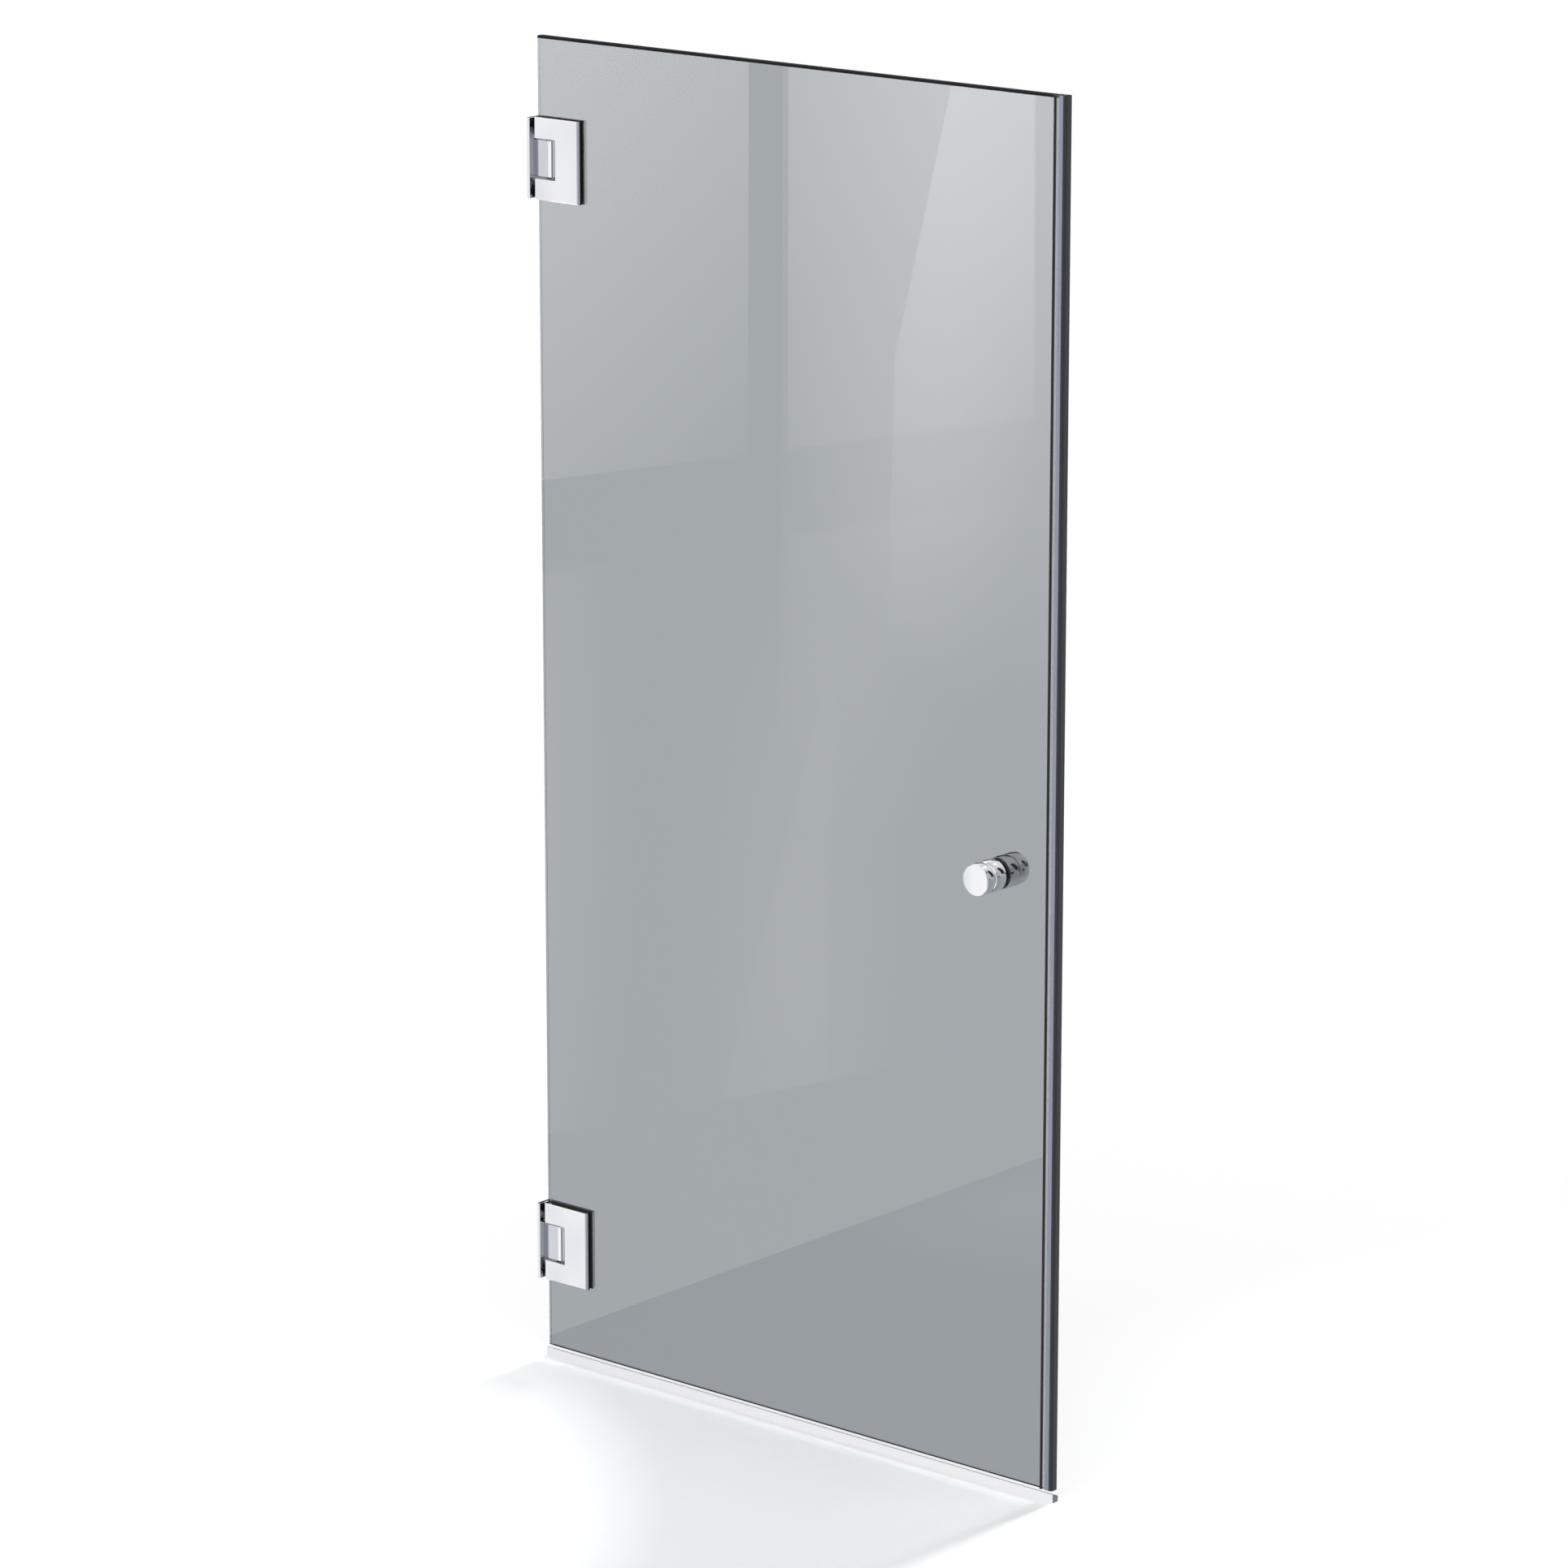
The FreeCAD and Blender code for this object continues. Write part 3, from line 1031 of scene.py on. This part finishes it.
@dataclass(frozen=True)
class DarkMark:
    """A dark place in the surroundings that metal mirrors, by compass and height in degrees."""

    compass: float
    height: float
    half_width: float
    half_height: float
    colour: str
    first_only: bool = False
    softness: float = 0.2

    def lay_over(
        self,
        tree: bpy.types.NodeTree,
        angles: tuple[bpy.types.Node, bpy.types.Node],
        colour: bpy.types.NodeSocket,
    ) -> bpy.types.NodeSocket:
        """Lays the mark over what is there.

        Args:
            tree: The world's tree.
            angles: The compass and the height of a direction, in radians.
            colour: What is there without it.

        Returns:
            The colour's output.
        """
        middles = (self.compass, self.height)
        halves = (self.half_width, self.half_height)
        ways = []
        for angle, middle, half in zip(angles, middles, halves):
            offset = add_node(
                tree, "ShaderNodeMath", {0: angle, 1: math.radians(middle)}, operation="SUBTRACT"
            )
            away = add_node(tree, "ShaderNodeMath", {0: offset}, operation="ABSOLUTE")
            ways.append(
                add_node(
                    tree, "ShaderNodeMath", {0: away, 1: math.radians(half)}, operation="DIVIDE"
                )
            )
        farther = add_node(
            tree, "ShaderNodeMath", {0: ways[0], 1: ways[1]}, operation="MAXIMUM"
        )
        inside = add_node(
            tree,
            "ShaderNodeMapRange",
            {"Value": farther, "From Min": 1 + self.softness, "From Max": 1 - self.softness},
            interpolation_type="SMOOTHSTEP",
        )
        if self.first_only:
            depth = add_node(tree, "ShaderNodeLightPath").outputs["Glossy Depth"]
            first = add_node(
                tree, "ShaderNodeMath", {0: depth, 1: AFTER_TWO}, operation="LESS_THAN"
            )
            inside = add_node(
                tree, "ShaderNodeMath", {0: inside, 1: first}, operation="MULTIPLY"
            )
        colours = {0: inside, 6: colour, 7: linear(self.colour)}
        return add_node(tree, "ShaderNodeMix", colours, data_type="RGBA").outputs[2]


@dataclass
class Studio:
    """A white studio: a pale floor, soft light from all round, a sun behind the door, and a lit
    panel of four panes beside it that the glass mirrors."""

    floor_reach: float = 60.0
    floor_colour: str = "#E7E7E7"
    floor_glow: float = 0.19
    # Painted light on the floor: a glow along the bar's foot that lightens its shadow, one that
    # fades the door's shadow towards the front left, and one that whitens the floor beside and
    # behind the door
    floor_spots: tuple[Glow, ...] = (
        Glow((0.0, -0.012, 0.0), (0.0, 0.03, 0.0), 0.15),
        Glow((-0.48, -1.25, 0.0), (1.36, 1.36, 0.0), 2.4),
        Glow((2.2, 0.6, 0.0), (1.7, 1.7, 0.0), 0.4),
    )
    sky_level: float = 0.7
    sun_strength: float = 1.5
    sun_elevation: float = 45.0
    sun_spread: float = 6.0
    panel_x: float = -0.05
    panel_top: float = 2.4
    layer_gap: float = 1 * MM
    mirrored_floor: tuple[float, float] = (3.0, -4.0)
    behind_glass: float = 0.8
    through_glass: float = 2.3
    through_tint: str = "#FFF7F0"
    mirrored_again: float = 0.45
    compass_shades: tuple[tuple[float, str], ...] = (
        (-180, "#8C93A3"), (-152, "#969CAC"), (-143, "#D6D8DF"), (-136, "#E4E5EA"),
        (-131, "#FCFCFE"), (-118, "#FFFFFF"), (-84, "#FFFFFF"), (-60, "#B4BAC8"),
        (-20, "#BFC4D0"), (30, "#D0D1D4"), (60, "#DCDDDF"), (100, "#F2F3F4"),
        (140, "#C4C8D2"), (165, "#8C93A3"), (180, "#8C93A3"),
    )
    dark_marks: tuple[DarkMark, ...] = (
        DarkMark(-73, 0, 7, 120, "#4A4C54", first_only=True),
        DarkMark(34, -1.5, 6, 5, "#3C3D42"),
        DarkMark(68, -1.5, 6, 5, "#3C3D42"),
        DarkMark(57, 22, 8, 17, "#020203"),
        DarkMark(131, 14, 17, 11, "#1A1B1E"),
    )
    ceiling: tuple[float, float] = (22.0, 37.0)
    ground: tuple[float, float] = (-24.0, -49.0)
    bright: str = "#FFFFFF"

    def panel_layers(self) -> list[SoftboxLayer]:
        """Lays out the lit panel on the hinge side, from its back to its front.

        Returns:
            The layers.
        """
        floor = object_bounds()[0][2]
        top = self.panel_top
        upper_near = ((0.2, top), (-0.508, top), (-0.501, 1.042), (0.2, 1.087))
        upper_far = ((-0.589, top), (-1.135, top), (-1.154, 1.001), (-0.587, 1.037))
        lower_far = ((-0.587, 0.909), (-1.154, 0.882), (-1.146, 0.025), (-0.578, 0.079))
        lower_all = ((0.2, 0.955), (-0.578, 0.912), (-1.154, 0.882), (-1.146, 0.025), (0.2, 0.155))
        beyond = ((-0.578, top), (-2.2, top), (-2.2, floor), (-0.578, floor))
        patch = (
            (-1.02, top), (-0.993, 1.662), (-0.945, 1.514), (-0.822, 1.139), (-0.798, 0.406),
            (-1.148, 0.376), (-1.154, 1.0), (-1.135, top),
        )
        wedge = ((-0.691, 0.74), (-0.435, 0.096), (-0.669, 0.073))
        flat = (
            ("panel_board", ((0.3, floor), (-3.0, floor), (-3.0, top), (0.3, top)), 1.13, ()),
            (
                "light_from_the_far_side",
                beyond,
                0.0,
                (card_glow(-1.2, 1.6, 0.75, 1.05, 3.4), card_glow(-0.8, 0.85, 0.35, 0.45, 0.75)),
            ),
            ("upper_near_pane", upper_near, 0.0, (card_glow(0.844, 3.42, 2.777, 2.777, 10.4),)),
            ("upper_far_pane", upper_far, 0.0, (card_glow(-0.85, 3.81, 3.0, 3.0, 6.1),)),
            ("lower_far_pane", lower_far, 0.0, (card_glow(-0.85, 3.81, 3.0, 3.0, 6.1),)),
            (
                "lower_panes",
                lower_all,
                0.0,
                (card_glow(-0.62, 0.3, 0.3, 0.75, 0.55), card_glow(0.05, 0.6, 0.3, 0.9, 1.05)),
            ),
            ("bright_patch", patch, 0.0, (card_glow(-0.9, 1.5, 0.35, 0.85, 1.8),)),
            ("faint_wedge", wedge, 0.17, ()),
        )
        layers = []
        for step, (name, pane, level, glows) in enumerate(flat):
            x = self.panel_x + step * self.layer_gap
            corners = tuple((x, y, z) for y, z in pane)
            is_board = step == 0
            layers.append(SoftboxLayer(name, corners, level, glows, is_board))
        far_x, far_y = self.mirrored_floor
        dark_floor = (
            (self.panel_x, 0.0, floor),
            (far_x, 0.0, floor),
            (far_x, far_y, floor),
            (self.panel_x, far_y, floor),
        )
        far_light = Glow((0.1, -1.0, 0.0), (0.35, 0.35, 0.0), 0.5)
        layers.append(SoftboxLayer("mirrored_floor", dark_floor, 0.06, (far_light,), True))
        return layers

    def build_floor(self) -> bpy.types.Object:
        """Lays the pale floor, which keeps the door's shadow and reads as white, with painted
        glows that lighten parts of that shadow.

        Returns:
            The floor.
        """
        material = new_material("pale floor")
        tree = material.node_tree
        path = add_node(tree, "ShaderNodeLightPath").outputs
        level = self.floor_glow
        for spot in self.floor_spots:
            level = spot.add_to(tree, level)
        paint = add_node(tree, "ShaderNodeBsdfDiffuse", {"Color": linear(self.floor_colour)})
        glow = add_node(
            tree, "ShaderNodeMath", {0: path["Is Camera Ray"], 1: level}, operation="MULTIPLY"
        )
        shine = add_node(tree, "ShaderNodeEmission", {"Strength": glow})
        lit = add_node(tree, "ShaderNodeAddShader", {0: paint, 1: shine})
        white = add_node(tree, "ShaderNodeEmission")
        mixed = add_node(
            tree, "ShaderNodeMixShader", {0: path["Is Transmission Ray"], 1: lit, 2: white}
        )
        add_node(tree, "ShaderNodeOutputMaterial", {"Surface": mixed})
        shape = bmesh.new()
        bmesh.ops.create_grid(shape, x_segments=1, y_segments=1, size=self.floor_reach / 2)
        bmesh.ops.translate(shape, verts=shape.verts, vec=(0, 0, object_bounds()[0][2]))
        floor = new_object("studio_floor", shape, material)
        floor.visible_glossy = False
        floor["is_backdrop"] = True
        return floor

    def build_sun(self) -> bpy.types.Object:
        """Hangs the sun behind the door, square to it, where no metal mirrors it.

        Returns:
            The lamp.
        """
        light = bpy.data.lights.new("sun", "SUN")
        light.energy = self.sun_strength
        light.angle = math.radians(self.sun_spread)
        sun = bpy.data.objects.new("sun", light)
        bpy.context.scene.collection.objects.link(sun)
        sun.rotation_euler = (math.radians(self.sun_elevation - 90), 0, 0)
        sun.visible_glossy = False
        return sun

    def build_world(self) -> bpy.types.World:
        """Makes the light from all round: white to the eye and through glass, and a studio with
        dark and light stretches to what mirrors it.

        Returns:
            The world.
        """
        world = bpy.data.worlds.new("white studio")
        world.use_nodes = True
        tree = world.node_tree
        tree.nodes.clear()
        path = add_node(tree, "ShaderNodeLightPath").outputs
        seen = add_node(
            tree,
            "ShaderNodeMath",
            {0: path["Is Camera Ray"], 1: path["Is Transmission Ray"]},
            operation="MAXIMUM",
        )
        plain = add_node(tree, "ShaderNodeMapRange", {"Value": seen, "To Min": self.sky_level})
        mirrored = add_node(
            tree,
            "ShaderNodeMath",
            {0: path["Glossy Depth"], 1: AFTER_ONE},
            operation="GREATER_THAN",
        )
        colours = {0: mirrored, 6: plain, 7: self.panorama(tree)}
        colour = add_node(tree, "ShaderNodeMix", colours, data_type="RGBA").outputs[2]
        light = self.evened_out(tree, path, mirrored, colour)
        background = add_node(tree, "ShaderNodeBackground", light)
        add_node(tree, "ShaderNodeOutputWorld", {"Surface": background})
        bpy.context.scene.world = world
        return world

    def evened_out(
        self,
        tree: bpy.types.NodeTree,
        path: bpy.types.bpy_prop_collection,
        mirrored: bpy.types.Node,
        colour: bpy.types.NodeSocket,
    ) -> dict[str, bpy.types.NodeSocket | bpy.types.Node]:
        """Makes up for the glass's tint where metal mirrors the studio through it: stronger and
        warmer there, dimmer to metal behind the glass and where it is mirrored again.

        Args:
            tree: The world's tree.
            path: The outputs of its Light Path.
            mirrored: 1 where something mirrors the studio.
            colour: The studio's colour.

        Returns:
            The background's colour and strength.
        """
        crossed = add_node(
            tree,
            "ShaderNodeMath",
            {0: path["Transmission Depth"], 1: AFTER_TWO},
            operation="GREATER_THAN",
        )
        changed = add_node(tree, "ShaderNodeMath", {0: crossed, 1: mirrored}, operation="MULTIPLY")
        through = add_node(
            tree,
            "ShaderNodeMath",
            {0: changed, 1: path["Is Transmission Ray"]},
            operation="MULTIPLY",
        )
        colours = {0: through, 6: colour, 7: linear(self.through_tint)}
        tinted = add_node(
            tree, "ShaderNodeMix", colours, data_type="RGBA", blend_type="MULTIPLY"
        ).outputs[2]
        again = add_node(
            tree,
            "ShaderNodeMath",
            {0: path["Glossy Depth"], 1: AFTER_TWO},
            operation="GREATER_THAN",
        )
        past_glass = add_node(
            tree,
            "ShaderNodeMapRange",
            {"Value": through, "To Min": self.behind_glass, "To Max": self.through_glass},
        )
        levels = [
            add_node(tree, "ShaderNodeMapRange", {"Value": share, "To Min": 1.0, "To Max": level})
            for share, level in ((changed, past_glass), (again, self.mirrored_again))
        ]
        level = add_node(
            tree, "ShaderNodeMath", {0: levels[0], 1: levels[1]}, operation="MULTIPLY"
        )
        return {"Color": tinted, "Strength": level}

    def panorama(self, tree: bpy.types.NodeTree) -> bpy.types.NodeSocket:
        """Draws what metal and glass mirror: shades by compass round the horizon, a pale ceiling
        and ground, and a few dark marks.

        Args:
            tree: The world's tree.

        Returns:
            The colour's output.
        """
        direction = add_node(tree, "ShaderNodeTexCoord").outputs["Generated"]
        parts = add_node(tree, "ShaderNodeSeparateXYZ", {"Vector": direction}).outputs
        compass = add_node(
            tree, "ShaderNodeMath", {0: parts["Y"], 1: parts["X"]}, operation="ARCTAN2"
        )
        height = add_node(tree, "ShaderNodeMath", {0: parts["Z"]}, operation="ARCSINE")
        turn = add_node(
            tree,
            "ShaderNodeMapRange",
            {"Value": compass, "From Min": -math.pi, "From Max": math.pi},
        )
        shades = add_node(tree, "ShaderNodeValToRGB", {"Fac": turn})
        stops = shades.color_ramp.elements
        while len(stops) < len(self.compass_shades):
            stops.new(1.0)
        for stop, (angle, shade) in zip(stops, self.compass_shades):
            stop.position = (angle + 180) / 360
            stop.color = linear(shade)
        colour = shades.outputs["Color"]
        for start, stop in (self.ceiling, self.ground):
            reached = add_node(
                tree,
                "ShaderNodeMapRange",
                {
                    "Value": height,
                    "From Min": math.radians(start),
                    "From Max": math.radians(stop),
                },
            )
            colours = {0: reached, 6: colour, 7: linear(self.bright)}
            colour = add_node(tree, "ShaderNodeMix", colours, data_type="RGBA").outputs[2]
        for mark in self.dark_marks:
            colour = mark.lay_over(tree, (compass, height), colour)
        return colour

    def build(self) -> None:
        """Sets up the studio and reports it."""
        self.build_floor()
        for layer in self.panel_layers():
            layer.build()
        self.build_sun()
        self.build_world()
        LOG.info("studio: floor, lit panel, sun and world")


@dataclass(frozen=True)
class Viewpoint:
    """The photograph's viewpoint."""

    azimuth: float = 40.872
    elevation: float = 14.04
    distance: float = 8.5
    target: tuple[float, float, float] = (0.443088, 0.0, 0.730001)
    lens: float = 146.19
    sensor: float = 36.0

    def build(self) -> bpy.types.Object:
        """Places the camera.

        Returns:
            The camera.
        """
        turn, rise = math.radians(self.azimuth), math.radians(self.elevation)
        back = Vector(
            (
                math.sin(turn) * math.cos(rise),
                -math.cos(turn) * math.cos(rise),
                math.sin(rise),
            )
        )
        data = bpy.data.cameras.new("camera")
        data.lens = self.lens
        data.sensor_width = self.sensor
        data.sensor_fit = "HORIZONTAL"
        camera = bpy.data.objects.new("camera", data)
        bpy.context.scene.collection.objects.link(camera)
        camera.location = Vector(self.target) + back * self.distance
        camera.rotation_mode = "QUATERNION"
        camera.rotation_quaternion = (-back).to_track_quat("-Z", "Y")
        bpy.context.scene.camera = camera
        return camera


def main() -> None:
    """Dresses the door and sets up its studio."""
    logging.basicConfig(level=logging.INFO, format="%(message)s")
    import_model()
    bpy.context.scene.view_settings.view_transform = "Standard"
    Viewpoint().build()
    Leaf().dress()
    LOG.info("leaf: glass, fixings, nose and bar dressed")
    LOG.info("seal: %s", ClearSealChannel().build().name)
    for name in ("lower", "upper"):
        hinge = Hinge(name)
        hinge.dress()
        for piece in hinge.screws():
            LOG.info("%s hinge: %s", name, piece.name)
    for node, side in (("outer_knob", Side.FRONT), ("inner_knob", Side.BACK)):
        LOG.info("knob: %s", TurnedKnob(node, side).build().name)
    Studio().build()


if __name__ == "__main__":
    main()
